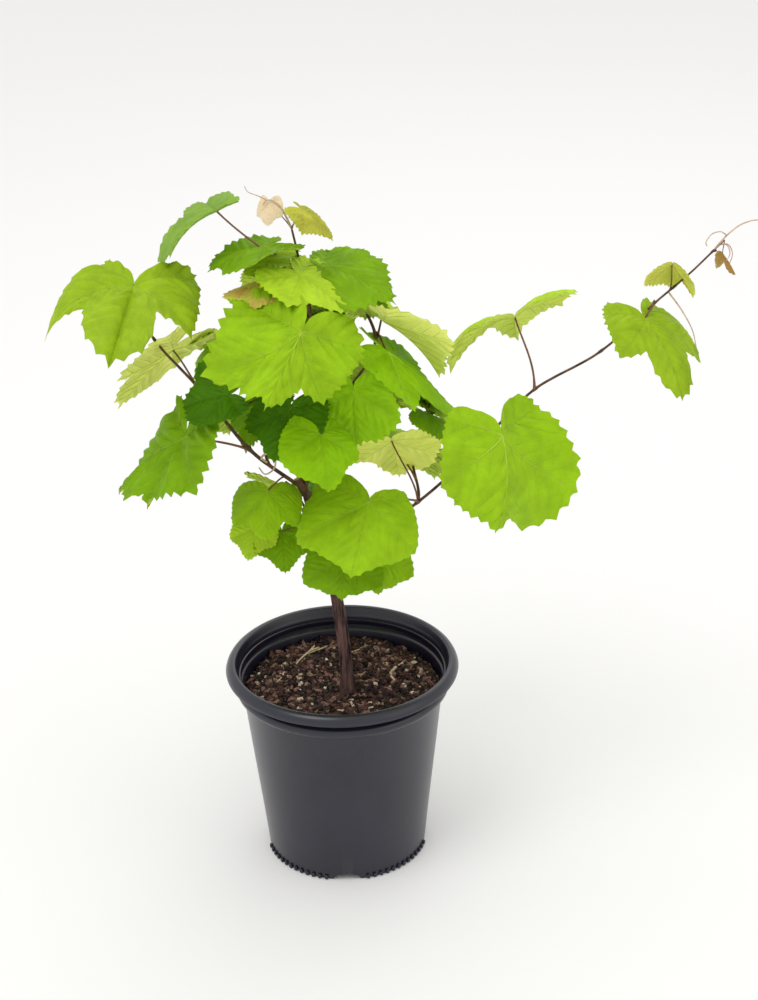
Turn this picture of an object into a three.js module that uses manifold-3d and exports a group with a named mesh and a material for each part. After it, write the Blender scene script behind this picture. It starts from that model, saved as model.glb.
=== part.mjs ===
// A young grapevine in a trade one-gallon nursery pot, in millimetres.
// The origin is the middle of the pot's flat underside, +Z is up, and the long cane reaches towards +X.
// The front of the plant faces -Y.
import * as THREE from "three";
import { mergeVertices } from "three/addons/utils/BufferGeometryUtils.js";
import Module from "manifold-3d";

const wasm = await Module();
wasm.setup();

// Driving sizes
const potHeight = 150;
const rimRadius = 82.5; // widest line of the lip
const rimHeight = 146; // height of that line
const footRadius = 57;
const wallTaper = 0.114; // growth of the wall's radius for each mm of height
const wallThickness = 2.4;
const floorThickness = 3;
const potSegments = 34;
const drainCount = 4;
const drainWidth = 20;
const drainHeight = 4;
const soilTop = 130.5;
const soilEdge = 129;
const gap = 0.35; // clear space between neighbouring solids
const leafThickness = 5;
const leafSides = 12; // a corner at each lobe, each notch between lobes, and the stalk's notch
const backSides = 8; // corners of a leaf at the back or inside

const soilColour = new THREE.MeshStandardMaterial({ color: 0x4a2e22, roughness: 0.95 });
const potColour = new THREE.MeshStandardMaterial({ color: 0x3d3e48, roughness: 0.55 });
const barkColour = new THREE.MeshStandardMaterial({ color: 0x5b3a2c, roughness: 0.9 });
const leafColour = new THREE.MeshStandardMaterial({ color: 0x7fae1e, roughness: 0.6 });

const plant = new THREE.Group();

// ---- joining and cutting ----

function solidOf(positions, triangles) {
  return new wasm.Manifold(
    new wasm.Mesh({
      numProp: 3,
      vertProperties: new Float32Array(positions),
      triVerts: new Uint32Array(triangles),
    }),
  );
}

function solidOfGeometry(geometry) {
  return solidOf(geometry.attributes.position.array, geometry.index.array);
}

function largestBody(solid) {
  const bodies = solid.decompose();
  bodies.sort((a, b) => b.volume() - a.volume());
  return bodies[0];
}

function addNode(name, solid, material) {
  const mesh = solid.getMesh();
  const geometry = new THREE.BufferGeometry();
  geometry.setAttribute("position", new THREE.BufferAttribute(mesh.vertProperties, 3));
  geometry.setIndex(new THREE.BufferAttribute(mesh.triVerts, 1));
  const node = new THREE.Mesh(geometry, material);
  node.name = name;
  plant.add(node);
}

// A closed ring-by-ring solid turned round the Z axis. The profile starts and ends on the axis.
function turned(profile, segments) {
  const positions = [];
  const triangles = [];
  const rings = profile.map(([radius, z]) => {
    const first = positions.length / 3;
    const count = radius === 0 ? 1 : segments;
    for (let i = 0; i < count; i++) {
      const angle = (2 * Math.PI * i) / segments;
      positions.push(radius * Math.cos(angle), radius * Math.sin(angle), z);
    }
    return { first, count };
  });
  for (let k = 0; k + 1 < rings.length; k++) {
    const low = rings[k];
    const high = rings[k + 1];
    for (let i = 0; i < segments; i++) {
      const j = (i + 1) % segments;
      const a = low.first + (low.count > 1 ? i : 0);
      const b = low.first + (low.count > 1 ? j : 0);
      const c = high.first + (high.count > 1 ? j : 0);
      const d = high.first + (high.count > 1 ? i : 0);
      if (low.count > 1) triangles.push(a, b, c);
      if (high.count > 1) triangles.push(a, c, d);
    }
  }
  return solidOf(positions, triangles);
}

// ---- pot and soil ----

const wallAt = (z) => footRadius + wallTaper * z;

function makePot() {
  const innerAt = (z) => wallAt(z) - wallThickness;
  const outside = [
    [0, 0],
    [footRadius - 1.5, 0],
    [wallAt(2), 2],
    [wallAt(127), 127],
    [75.4, 129.5],
    [76, 133],
    [79.6, rimHeight - 9],
    [rimRadius, rimHeight - 5],
    [rimRadius - 0.4, rimHeight + 1],
    [rimRadius - 2.4, potHeight],
  ];
  const inside = [
    [77, potHeight - 1.5],
    [76, rimHeight - 2],
    [73.6, rimHeight - 3],
    [72.6, 133],
    [71.6, 131.5],
    [innerAt(124) + 1, 124],
    [innerAt(floorThickness), floorThickness],
    [0, floorThickness],
  ];
  let pot = turned([...outside, ...inside], potSegments);
  // Drain arches stand round the foot, clear of the soil and the middle of the underside.
  for (let k = 0; k < drainCount; k++) {
    const arch = new THREE.CylinderGeometry(1, 1, 6, 12, 1);
    arch.scale(drainWidth / 2, 1, drainHeight);
    arch.deleteAttribute("normal");
    arch.deleteAttribute("uv");
    const angle = -Math.PI / 2 + (2 * Math.PI * k) / drainCount;
    arch.translate(0, footRadius, 0);
    arch.rotateZ(angle - Math.PI / 2);
    pot = pot.subtract(solidOfGeometry(mergeVertices(arch, 1e-3)));
  }
  return pot;
}

function makeSoil() {
  const sideAt = (z) => wallAt(z) - wallThickness - gap;
  const floor = floorThickness + gap;
  const profile = [
    [0, floor],
    [sideAt(floor), floor],
    [sideAt(122), 122],
    [sideAt(122) + 1, soilEdge],
    [40, soilTop - 0.3],
    [24, soilTop],
    [0, soilTop],
  ];
  return turned(profile, potSegments);
}

// ---- trunk and canes ----

// A tapering limb along a smooth path, closed by flat ends.
function limb({ path, radii, sides = 8, steps = 10, from = 0, to = 1, grow = 0 }) {
  const whole = new THREE.CatmullRomCurve3(path.map((p) => new THREE.Vector3(...p)));
  const positions = [];
  const triangles = [];
  const across = new THREE.Vector3();
  const other = new THREE.Vector3();
  for (let k = 0; k <= steps; k++) {
    const along = from + ((to - from) * k) / steps;
    const middle = whole.getPointAt(along);
    const tangent = whole.getTangentAt(along);
    across.set(0, 1, 0).cross(tangent).normalize();
    other.crossVectors(tangent, across);
    const radius = radiusAt(radii, along) + grow;
    for (let i = 0; i < sides; i++) {
      const angle = (2 * Math.PI * i) / sides;
      const spot = middle
        .clone()
        .addScaledVector(across, radius * Math.cos(angle))
        .addScaledVector(other, radius * Math.sin(angle));
      positions.push(spot.x, spot.y, spot.z);
    }
  }
  for (let k = 0; k < steps; k++) {
    for (let i = 0; i < sides; i++) {
      const j = (i + 1) % sides;
      const a = k * sides;
      const b = a + sides;
      triangles.push(a + i, a + j, b + j, a + i, b + j, b + i);
    }
  }
  const last = steps * sides;
  for (let i = 1; i + 1 < sides; i++) {
    triangles.push(0, i + 1, i, last, last + i, last + i + 1);
  }
  return solidOf(positions, triangles);
}

// Radii are pairs of the share of the way along and the radius there.
function radiusAt(radii, along) {
  for (let k = 1; k < radii.length; k++) {
    const [start, first] = radii[k - 1];
    const [end, second] = radii[k];
    if (along <= end) return first + ((second - first) * (along - start)) / (end - start);
  }
  return radii[radii.length - 1][1];
}

const head = [-21, -15, 290]; // where the canes leave the trunk
const trunkFoot = [4, -11, soilTop - 10]; // the trunk is then cut level with the soil

const limbs = {
  trunk: {
    path: [trunkFoot, [2, -12, 165], [-2, -13, 204], [-5, -13, 228], [-12, -14, 260], head],
    radii: [
      [0.05, 5.8],
      [0.12, 4.9],
      [0.5, 4.6],
      [0.92, 4],
      [1, 2.6],
    ],
    sides: 8,
    steps: 14,
  },
  left_cane: {
    path: [head, [-42, -18, 308], [-56, -20, 322], [-70, -20, 341], [-91, -15, 369], [-115, -8, 396], [-125, -2, 412]],
    radii: [
      [0, 1.8],
      [1, 1],
    ],
    pieces: 2,
  },
  right_cane: {
    path: [
      [-7, -14, 236],
      [16, -4, 245],
      [50, 2, 266],
      [76, 6, 287],
      [108, 8, 321],
      [134, 8, 349],
      [178, 5, 377],
      [214, 0, 414],
      [235, 0, 433],
      [256, 0, 455],
    ],
    radii: [
      [0, 1.5],
      [0.6, 1.1],
      [1, 0.8],
    ],
    pieces: 4,
  },
  centre_cane: {
    path: [head, [-11, -6, 331], [-8, 0, 360], [-13, 6, 399], [-19, 10, 439], [-24, 10, 466]],
    radii: [
      [0, 1.7],
      [1, 0.9],
    ],
    pieces: 2,
  },
  second_cane: {
    path: [
      [-11, -6, 331],
      [8, 4, 352],
      [24, 12, 372],
      [32, 18, 394],
      [36, 24, 418],
    ],
    radii: [
      [0, 1.3],
      [1, 0.8],
    ],
  },
  back_cane: {
    path: [head, [-24, 6, 312], [-20, 32, 340], [-12, 58, 366], [-6, 78, 384]],
    radii: [
      [0, 1.5],
      [1, 0.9],
    ],
  },
};

// Every piece of a limb, each cut short of its neighbour.
function piecesOf(name, shape) {
  const count = shape.pieces ?? 1;
  const length = new THREE.CatmullRomCurve3(shape.path.map((p) => new THREE.Vector3(...p))).getLength();
  const share = gap / length;
  return Array.from({ length: count }, (_, k) => ({
    name: count === 1 ? name : `${name}_${k + 1}`,
    ...shape,
    steps: shape.steps ?? 6,
    sides: shape.sides ?? 6,
    from: k / count + (k > 0 ? share : 0),
    to: (k + 1) / count,
  }));
}

// ---- foliage ----

// How far the blade reaches from its stalk, as a share of its width, at an angle from the tip in radians.
function bladeReach(angle) {
  const lobes = 0.04 * Math.cos(6 * angle);
  const length = 0.54 + 0.09 * Math.cos(angle);
  const stalkNotch = 0.3 * Math.max(0, -Math.cos(angle)) ** 24;
  return length + lobes - stalkNotch;
}

// One leaf as a thin bent pad. Heading and pitch turn its tip, roll tilts its sides, droop curls the tip down
// and fold lowers both sides, all in degrees.
function leafPad({ at, width, heading, pitch, roll = 0, droop = 20, fold = 10, sides = leafSides }, grow = 0) {
  const bend = THREE.MathUtils.degToRad(droop) / width;
  const foldAngle = THREE.MathUtils.degToRad(fold);
  const half = leafThickness / 2 + grow;
  const shares = [0, 0.55, 1];
  const onBlade = (angle, share, side) => {
    const reach = bladeReach(angle) * width * share + (share === 1 ? grow : 0);
    const across = reach * Math.sin(angle);
    const along = reach * Math.cos(angle);
    const turn = bend * along * (along < 0 ? 0.6 : 1);
    const thick = side * half * (share === 1 ? 0.6 : 1);
    const rise = thick - Math.abs(across) * Math.sin(foldAngle);
    const forward = (Math.abs(turn) < 1e-6 ? along : (along * Math.sin(turn)) / turn) + rise * Math.sin(turn);
    const sag = Math.abs(turn) < 1e-6 ? 0 : (along * (1 - Math.cos(turn))) / turn;
    return new THREE.Vector3(across * Math.cos(foldAngle), forward, rise * Math.cos(turn) - sag);
  };
  const turnAngles = [heading, pitch, roll].map(THREE.MathUtils.degToRad);
  const [h, p, r] = turnAngles;
  const along = new THREE.Vector3(Math.cos(p) * Math.cos(h), Math.cos(p) * Math.sin(h), Math.sin(p));
  const level = new THREE.Vector3(-Math.sin(p) * Math.cos(h), -Math.sin(p) * Math.sin(h), Math.cos(p));
  const aside = new THREE.Vector3().crossVectors(along, level);
  const up = level.clone().multiplyScalar(Math.cos(r)).addScaledVector(aside, Math.sin(r));
  const side = aside.clone().multiplyScalar(Math.cos(r)).addScaledVector(level, -Math.sin(r));
  const frame = new THREE.Matrix4().makeBasis(side, along, up).setPosition(...at);
  const positions = [];
  for (const face of [1, -1]) {
    positions.push(...onBlade(0, 0, face).applyMatrix4(frame));
    for (const share of shares.slice(1)) {
      for (let i = 0; i < sides; i++) {
        positions.push(...onBlade((2 * Math.PI * i) / sides, share, face).applyMatrix4(frame));
      }
    }
  }
  const layer = 1 + 2 * sides;
  const triangles = [];
  for (let i = 0; i < sides; i++) {
    const j = (i + 1) % sides;
    const inner = 1;
    const outer = 1 + sides;
    triangles.push(0, inner + j, inner + i);
    triangles.push(inner + i, inner + j, outer + j, inner + i, outer + j, outer + i);
    triangles.push(layer, layer + inner + i, layer + inner + j);
    triangles.push(layer + inner + i, layer + outer + j, layer + inner + j);
    triangles.push(layer + inner + i, layer + outer + i, layer + outer + j);
    triangles.push(outer + i, outer + j, layer + outer + j, outer + i, layer + outer + j, layer + outer + i);
  }
  return solidOf(positions, triangles);
}

// Each mass of foliage is its leaves joined into one solid. The first ones are cut last.
const masses = {
  leaves_front: [{ at: [-17, -70, 425], width: 109, heading: -116, pitch: -31, roll: -25, droop: 14, fold: 37 }],
  leaves_heart: [{ at: [-9, -50, 347], width: 59, heading: -78, pitch: -28, roll: -12, droop: 30, fold: 10 }],
  leaves_middle: [{ at: [14, -35, 370], width: 64, heading: -108, pitch: -80, roll: 2, droop: 32, fold: 11 }],
  leaves_low_front: [{ at: [22, -40, 292], width: 89, heading: -104, pitch: -26, roll: -7, droop: 18, fold: 23 }],
  leaves_low_left: [{ at: [-45, -30, 297], width: 59, heading: -92, pitch: -24, roll: -4, droop: 17, fold: 40 }],
  leaves_right: [{ at: [111, -25, 332], width: 110, heading: -80, pitch: -46, roll: -20, droop: 75, fold: 5 }],
  leaves_far_left: [{ at: [-128, -5, 434], width: 101, heading: -96, pitch: -14, roll: -10, droop: 3, fold: 13 }],
  leaves_left: [{ at: [-99, -25, 335], width: 106, heading: -136, pitch: -49, roll: 18, droop: -7, fold: 8 }],
  leaves_left_shade: [{ at: [-68, -35, 369], width: 55, heading: 172, pitch: -13, roll: -36, droop: 25, fold: -16 }],
  leaves_left_under: [{ at: [-107, 15, 381], width: 80, heading: 172, pitch: -41, roll: 25, droop: 16, fold: 3 }],
  leaves_top_left: [{ at: [-73, 20, 476], width: 89, heading: 101, pitch: -13, roll: -21, droop: -3, fold: 15 }],
  leaves_top: [{ at: [-42, 8, 455], width: 71, heading: 206, pitch: -5, roll: 10, droop: 34, fold: 0 }],
  leaves_top_light: [{ at: [-48, 5, 446], width: 46, heading: 25, pitch: 12, roll: 0, droop: 20, fold: 5 }],
  leaves_bronze: [{ at: [-37, -6, 436], width: 50, heading: 186, pitch: -10, roll: 0, droop: 20, fold: 5 }],
  leaves_light: [{ at: [-20, -14, 443], width: 66, heading: -42, pitch: -14, roll: 0, droop: 20, fold: 8 }],
  leaves_blush: [{ at: [-38, 8, 485], width: 20, heading: -100, pitch: -50, roll: 0, droop: 20, fold: 10 }],
  leaves_tip: [{ at: [-16, 0, 481], width: 38, heading: -24, pitch: -26, roll: -6, droop: 44, fold: 15 }],
  leaves_top_right: [{ at: [-5, 0, 443], width: 81, heading: -34, pitch: 2, roll: 13, droop: 52, fold: 9 }],
  leaves_centre_right: [{ at: [35, 15, 398], width: 88, heading: 17, pitch: -35, roll: -10, droop: 41, fold: -17 }],
  leaves_centre_low: [{ at: [37, -5, 384], width: 87, heading: 6, pitch: -40, roll: 6, droop: 16, fold: 10 }],
  leaves_under_right: [{ at: [38, 20, 309], width: 71, heading: 82, pitch: -46, roll: -10, droop: 32, fold: 6 }],
  leaves_upper_right: [{ at: [121, 0, 405], width: 84, heading: 90, pitch: -26, roll: -21, droop: 67, fold: 2 }],
  leaves_far_right: [{ at: [205, -10, 406], width: 79, heading: -56, pitch: -28, roll: -9, droop: 49, fold: 16 }],
  leaves_right_tip: [{ at: [223, 0, 439], width: 44, heading: 84, pitch: -36, roll: 8, droop: 48, fold: 30 }],
  leaves_right_end: [{ at: [255, -4, 447], width: 20, heading: -20, pitch: -50, droop: 20, fold: 20 }],
  leaves_shade_front: [{ at: [-28, -30, 356], width: 58, heading: -112, pitch: -34, roll: 0, droop: 20, fold: 10 }],
  leaves_low_back_left: [{ at: [4, -28, 244], width: 56, heading: -96, pitch: -48, roll: 0, droop: 15, fold: 10 }],
  leaves_low_back_right: [{ at: [24, -20, 242], width: 54, heading: -80, pitch: -48, roll: 0, droop: 15, fold: 10 }],
  leaves_low_behind_left: [{ at: [-56, -10, 261], width: 46, heading: -110, pitch: -40, roll: 0, droop: 15, fold: 10 }],
  leaves_low_behind_right: [{ at: [-38, -13, 257], width: 48, heading: -84, pitch: -44, roll: 0, droop: 15, fold: 10 }],
  leaves_inner_left: [{ at: [-55, 21, 343], width: 76, heading: 150, pitch: -30 }],
  leaves_inner_right: [{ at: [67, 16, 343], width: 66, heading: 20, pitch: -40 }],
  leaves_inner_top: [{ at: [10, 20, 424], width: 76, heading: 20, pitch: -20 }],
  leaves_back_top: [
    { at: [-36, 46, 430], width: 80, heading: 80, pitch: -20 },
    { at: [-4, 32, 436], width: 66, heading: 55, pitch: -15 },
  ],
  leaves_back_upper: [
    { at: [0, 74, 396], width: 78, heading: 50, pitch: -35 },
    { at: [-40, 78, 392], width: 84, heading: 115, pitch: -35 },
  ],
  leaves_back_left: [
    { at: [-80, 54, 382], width: 84, heading: 130, pitch: -30 },
    { at: [-94, 62, 368], width: 76, heading: 150, pitch: -40 },
  ],
  leaves_back_low_left: [{ at: [-66, 66, 322], width: 84, heading: 130, pitch: -40 }],
  leaves_back_foot: [{ at: [-36, 48, 270], width: 74, heading: 140, pitch: -40 }],
  leaves_back_middle: [
    { at: [0, 84, 350], width: 90, heading: 85, pitch: -40 },
    { at: [30, 66, 372], width: 80, heading: 55, pitch: -35 },
  ],
  leaves_back_right: [
    { at: [55, 50, 342], width: 84, heading: 40, pitch: -40 },
    { at: [52, 42, 374], width: 70, heading: 40, pitch: -35 },
  ],
  leaves_back_low_right: [
    { at: [50, 66, 290], width: 84, heading: 60, pitch: -40 },
    { at: [74, 40, 290], width: 74, heading: 30, pitch: -45 },
  ],
  leaves_back_low: [
    { at: [-2, 60, 292], width: 88, heading: 95, pitch: -40 },
    { at: [22, 40, 312], width: 80, heading: 60, pitch: -45 },
  ],
};

function build() {
  addNode("pot", makePot(), potColour);
  addNode("soil", makeSoil(), soilColour);
  const ground = turned(
    [
      [0, 0],
      [rimRadius, 0],
      [rimRadius, soilTop + gap],
      [0, soilTop + gap],
    ],
    potSegments,
  );
  const limbPieces = Object.entries(limbs).flatMap(([name, shape]) => piecesOf(name, shape));
  const cutters = [];
  for (const piece of limbPieces) {
    let solid = limb(piece).subtract(ground);
    for (const cutter of cutters) {
      if (!cutter.name.startsWith(piece.name.replace(/_\d+$/, ""))) solid = solid.subtract(cutter.solid);
    }
    solid = largestBody(solid);
    addNode(piece.name, solid, barkColour);
    cutters.push({ name: piece.name, solid: limb({ ...piece, grow: gap }) });
  }
  const cleared = cutters.map((cutter) => cutter.solid);
  for (const [name, leaves] of Object.entries(masses)) {
    const sides = /_(back|inner)_/.test(name) ? backSides : leafSides;
    const pads = (grow) => leaves.map((leaf) => leafPad({ ...leaf, sides }, grow));
    let solid = pads(0).reduce((sum, next) => sum.add(next));
    for (const cutter of cleared) solid = solid.subtract(cutter);
    solid = largestBody(solid);
    addNode(name, solid, leafColour);
    cleared.push(...pads(gap));
  }
}

build();

export default plant;
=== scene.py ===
import math
import random

import bpy
import numpy as np
from mathutils import Matrix, Vector


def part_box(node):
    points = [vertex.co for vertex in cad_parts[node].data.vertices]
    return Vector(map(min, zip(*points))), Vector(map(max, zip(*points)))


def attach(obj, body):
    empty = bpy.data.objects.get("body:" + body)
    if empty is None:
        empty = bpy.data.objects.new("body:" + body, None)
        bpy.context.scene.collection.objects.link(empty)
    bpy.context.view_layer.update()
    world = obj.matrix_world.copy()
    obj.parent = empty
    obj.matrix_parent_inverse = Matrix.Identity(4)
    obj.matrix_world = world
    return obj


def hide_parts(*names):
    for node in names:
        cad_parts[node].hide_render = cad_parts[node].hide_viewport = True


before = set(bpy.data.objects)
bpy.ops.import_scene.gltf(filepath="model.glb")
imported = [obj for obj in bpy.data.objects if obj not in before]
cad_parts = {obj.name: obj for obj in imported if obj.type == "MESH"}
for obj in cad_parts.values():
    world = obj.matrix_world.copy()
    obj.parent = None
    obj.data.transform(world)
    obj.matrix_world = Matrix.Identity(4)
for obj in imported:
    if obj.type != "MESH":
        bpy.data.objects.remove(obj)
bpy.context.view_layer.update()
mm = 0.001
print("frame loaded:", len(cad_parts), "nodes")


def clearSelection():
    if bpy.context.object and bpy.context.object.mode != "OBJECT":
        bpy.ops.object.mode_set(mode="OBJECT")
    bpy.ops.object.select_all(action="DESELECT")


def takeUp(piece):
    clearSelection()
    piece.select_set(True)
    bpy.context.view_layer.objects.active = piece


def enterMesh():
    bpy.ops.object.mode_set(mode="EDIT")
    bpy.ops.mesh.select_all(action="SELECT")


def settle(piece):
    takeUp(piece)
    bpy.ops.object.transform_apply(location=True, rotation=True, scale=True)


def applyAll(piece):
    takeUp(piece)
    for modifier in list(piece.modifiers):
        bpy.ops.object.modifier_apply(modifier=modifier.name)


def smooth(piece, degrees, material=None):
    takeUp(piece)
    bpy.ops.object.shade_smooth_by_angle(angle=math.radians(degrees))
    if material:
        piece.data.materials.append(material)


def newFromOp(name):
    piece = bpy.context.object
    piece.name = name
    piece.data.name = name
    return piece


def srgb(red, green, blue):
    shares = [c / 255 for c in (red, green, blue)]
    return [c / 12.92 if c < 0.04045 else ((c + 0.055) / 1.055) ** 2.4 for c in shares]


def unit(v):
    return v / max(float(np.linalg.norm(v)), 1e-12)


# A smooth line through given values that never overshoots between them.
def smoothThrough(at, knots, values):
    step = np.diff(knots)
    rise = np.diff(values) / step
    slope = np.zeros(len(knots))
    for k in range(1, len(knots) - 1):
        if rise[k - 1] * rise[k] > 0:
            before, after = 2 * step[k] + step[k - 1], step[k] + 2 * step[k - 1]
            slope[k] = (before + after) / (before / rise[k - 1] + after / rise[k])
    k = np.clip(np.searchsorted(knots, at, side="right") - 1, 0, len(step) - 1)
    t = np.clip((at - knots[k]) / step[k], 0, 1)
    t2, t3 = t * t, t * t * t
    return (
        (2 * t3 - 3 * t2 + 1) * values[k]
        + (t3 - 2 * t2 + t) * step[k] * slope[k]
        + (3 * t2 - 2 * t3) * values[k + 1]
        + (t3 - t2) * step[k] * slope[k + 1]
    )


# A finish with two close tones, an uneven gloss and a fine relief, all in the piece's own space.
def finish(name, light, dark, grain=60, detail=4, rough=(0.45, 0.6), bump=0.3, bumpGrain=400,
           stretch=(1, 1, 1), specular=0.4, subsurface=0.0, bumpDepth=0.0004):
    material = bpy.data.materials.new(name)
    material.use_nodes = True
    nodes, links = material.node_tree.nodes, material.node_tree.links

    def add(kind, values):
        node = nodes.new("ShaderNode" + kind)
        for socket, value in values.items():
            node.inputs[socket].default_value = value
        return node

    place = add("TexCoord", {})
    mapping = add("Mapping", {"Scale": stretch})
    tone = add("TexNoise", {"Scale": grain, "Detail": detail, "Roughness": 0.6})
    ramp = add("ValToRGB", {})
    for stop, position, colour in zip(ramp.color_ramp.elements, (0.36, 0.64), (dark, light)):
        stop.position = position
        stop.color = (*colour, 1)
    gloss = add("MapRange", {"To Min": rough[0], "To Max": rough[1]})
    relief = add("TexNoise", {"Scale": bumpGrain, "Detail": 3})
    push = add("Bump", {"Strength": bump, "Distance": bumpDepth})
    shader = nodes["Principled BSDF"]
    shader.inputs["Specular IOR Level"].default_value = specular
    shader.inputs["Subsurface Weight"].default_value = subsurface
    shader.inputs["Subsurface Radius"].default_value = (0.8, 1.0, 0.25)
    shader.inputs["Subsurface Scale"].default_value = 0.0015
    for source, out, target, socket in (
        (place, "Object", mapping, "Vector"),
        (mapping, "Vector", tone, "Vector"),
        (tone, "Fac", ramp, "Fac"),
        (ramp, "Color", shader, "Base Color"),
        (tone, "Fac", gloss, "Value"),
        (gloss, "Result", shader, "Roughness"),
        (mapping, "Vector", relief, "Vector"),
        (relief, "Fac", push, "Height"),
        (push, "Normal", shader, "Normal"),
    ):
        links.new(source.outputs[out], target.inputs[socket])
    return material


def shaded(colour, share):
    return [c * share for c in colour]


# Top tone and underside tone of each leaf tone; the lit, mid, shade and deep tones are one green with painted
# light and painted shade.
leafTones = {
    # Each underside tone is the paler underside with painted light added, for light that passes through the
    # leaf; the under tone has the most.
    "lit": (srgb(146, 186, 20), srgb(200, 218, 96)),
    "fresh": (srgb(170, 204, 40), srgb(198, 214, 96)),
    "pale": (srgb(170, 204, 40), srgb(238, 250, 122)),
    "mid": (srgb(138, 186, 8), srgb(200, 220, 90)),
    "shade": (srgb(118, 160, 6), srgb(184, 206, 80)),
    "deep": (srgb(72, 120, 4), srgb(148, 180, 60)),
    "young": (srgb(180, 182, 60), srgb(212, 214, 100)),
    "bronze": (srgb(160, 124, 66), srgb(178, 146, 92)),
    "blush": (srgb(236, 212, 178), srgb(240, 222, 190)),
    "tinted": (srgb(190, 204, 76), srgb(206, 206, 96)),
    # A greyer green, darkened with painted shade.
    "soft": (srgb(128, 164, 58), srgb(150, 182, 84)),
    "warm": (srgb(146, 176, 28), srgb(200, 214, 96)),
    "under": (srgb(176, 206, 60), srgb(250, 255, 140)),
}
# The second tone of a leaf that isn't green all over.
leafPatches = {"tinted": srgb(202, 150, 88), "young": srgb(160, 158, 54), "pale": srgb(160, 190, 50)}
leafMaterials = []
leafSlots = {}
for toneName, (topTone, underTone) in leafTones.items():
    leafSlots[toneName] = len(leafMaterials)
    leafMaterials.append(finish(
        "leafTop_" + toneName, shaded(topTone, 1.08), leafPatches.get(toneName, shaded(topTone, 0.86)),
        grain=70, rough=(0.5, 0.66), bump=0.8, bumpGrain=430, specular=0.12, subsurface=0.25))
    # Underside finish: the paler underside, brightened with painted light that passes through the leaf.
    leafMaterials.append(finish(
        "leafUnder_" + toneName, shaded(underTone, 1.05), shaded(underTone, 0.92),
        grain=70, rough=(0.65, 0.8), bump=0.4, bumpGrain=620, specular=0.1, subsurface=0.25))


def between(first, second, share):
    return [(1 - share) * a + share * b for a, b in zip(first, second)]


# The veins are only a little paler than their leaf.
veinMaterials = [
    finish("leafVein_" + toneName, between(top, under, 0.45), between(top, under, 0.3),
           grain=120, rough=(0.5, 0.65), bump=0.1, specular=0.16)
    for toneName, (top, under) in leafTones.items()
]
veinSlots = {toneName: k for k, toneName in enumerate(leafTones)}

potPlastic = finish(
    "potPlastic", srgb(22, 22, 40), srgb(14, 14, 30),
    grain=26, rough=(0.24, 0.34), bump=0.2, bumpGrain=1300, specular=0.62, bumpDepth=0.00012)
barkTrunk = finish(
    "barkTrunk", srgb(112, 84, 78), srgb(30, 20, 23), grain=330, detail=6, rough=(0.75, 0.95),
    bump=0.9, bumpGrain=700, stretch=(1, 1, 0.12), specular=0.2, bumpDepth=0.0008)
barkCane = finish(
    "barkCane", srgb(112, 78, 56), srgb(56, 38, 30),
    grain=240, rough=(0.5, 0.75), bump=0.5, bumpGrain=600, stretch=(0.5, 1, 0.5), specular=0.3)
stalkRed = finish(
    "stalkRed", srgb(140, 92, 70), srgb(98, 60, 46), grain=160, rough=(0.4, 0.55), bump=0.2)
stalkGreen = finish(
    "stalkGreen", srgb(160, 176, 84), srgb(136, 140, 66), grain=160, rough=(0.4, 0.55), bump=0.2)
tendrilSkin = finish(
    "tendrilSkin", srgb(214, 190, 168), srgb(182, 150, 124), grain=260, rough=(0.45, 0.6), bump=0.2)
soilBedding = finish(
    "soilBedding", srgb(66, 46, 38), srgb(22, 15, 13),
    grain=300, detail=8, rough=(0.85, 1), bump=1, bumpGrain=500, specular=0.15, bumpDepth=0.002)
chipTones = [
    ("chipRedBrown", srgb(84, 56, 50)),
    ("chipDark", srgb(34, 26, 25)),
    ("chipBrown", srgb(64, 47, 42)),
    ("chipTan", srgb(128, 102, 86)),
    ("chipPink", srgb(134, 98, 90)),
    ("chipPale", srgb(190, 172, 148)),
    ("chipPerlite", srgb(226, 222, 214)),
]
chipMaterials = [
    finish(name, shaded(tone, 1.15), shaded(tone, 0.75),
           grain=500, rough=(0.7, 0.95), bump=0.7, bumpGrain=1200, specular=0.2)
    for name, tone in chipTones
]
strawSkin = finish(
    "strawSkin", srgb(214, 198, 166), srgb(170, 148, 112), grain=400, rough=(0.6, 0.8), bump=0.4)
cutWood = finish(
    "cutWood", srgb(212, 186, 140), srgb(176, 140, 98), grain=500, rough=(0.7, 0.9), bump=0.5)
print("materials made")


# Collects many small shapes, and makes them one piece.
class Heap:
    def __init__(self):
        self.points = []
        self.faces = []
        self.slots = []
        self.count = 0

    def add(self, points, faces, slot):
        self.points.append(np.asarray(points, float))
        self.faces.extend([[i + self.count for i in face] for face in faces])
        self.slots.extend([slot] * len(faces) if isinstance(slot, int) else slot)
        self.count += len(points)

    def makePiece(self, name, materials, angle=60):
        mesh = bpy.data.meshes.new(name)
        mesh.from_pydata(np.concatenate(self.points).tolist(), [], self.faces)
        for material in materials:
            mesh.materials.append(material)
        mesh.polygons.foreach_set("material_index", self.slots)
        mesh.update()
        piece = bpy.data.objects.new(name, mesh)
        bpy.context.scene.collection.objects.link(piece)
        smooth(piece, angle)
        print(name, len(mesh.polygons), "faces")
        return piece


# Directions across a line that turn as little as they can along it.
def crossDirections(line):
    run = np.gradient(line, axis=0)
    run /= np.maximum(np.linalg.norm(run, axis=1, keepdims=True), 1e-12)
    side = np.cross(run[0], [0.31, -0.42, 0.85])
    if np.linalg.norm(side) < 0.1:
        side = np.cross(run[0], [1, 0, 0])
    sides = []
    for direction in run:
        side = unit(side - direction * np.dot(side, direction))
        sides.append(side)
    sides = np.array(sides)
    return sides, np.cross(run, sides)


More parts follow.
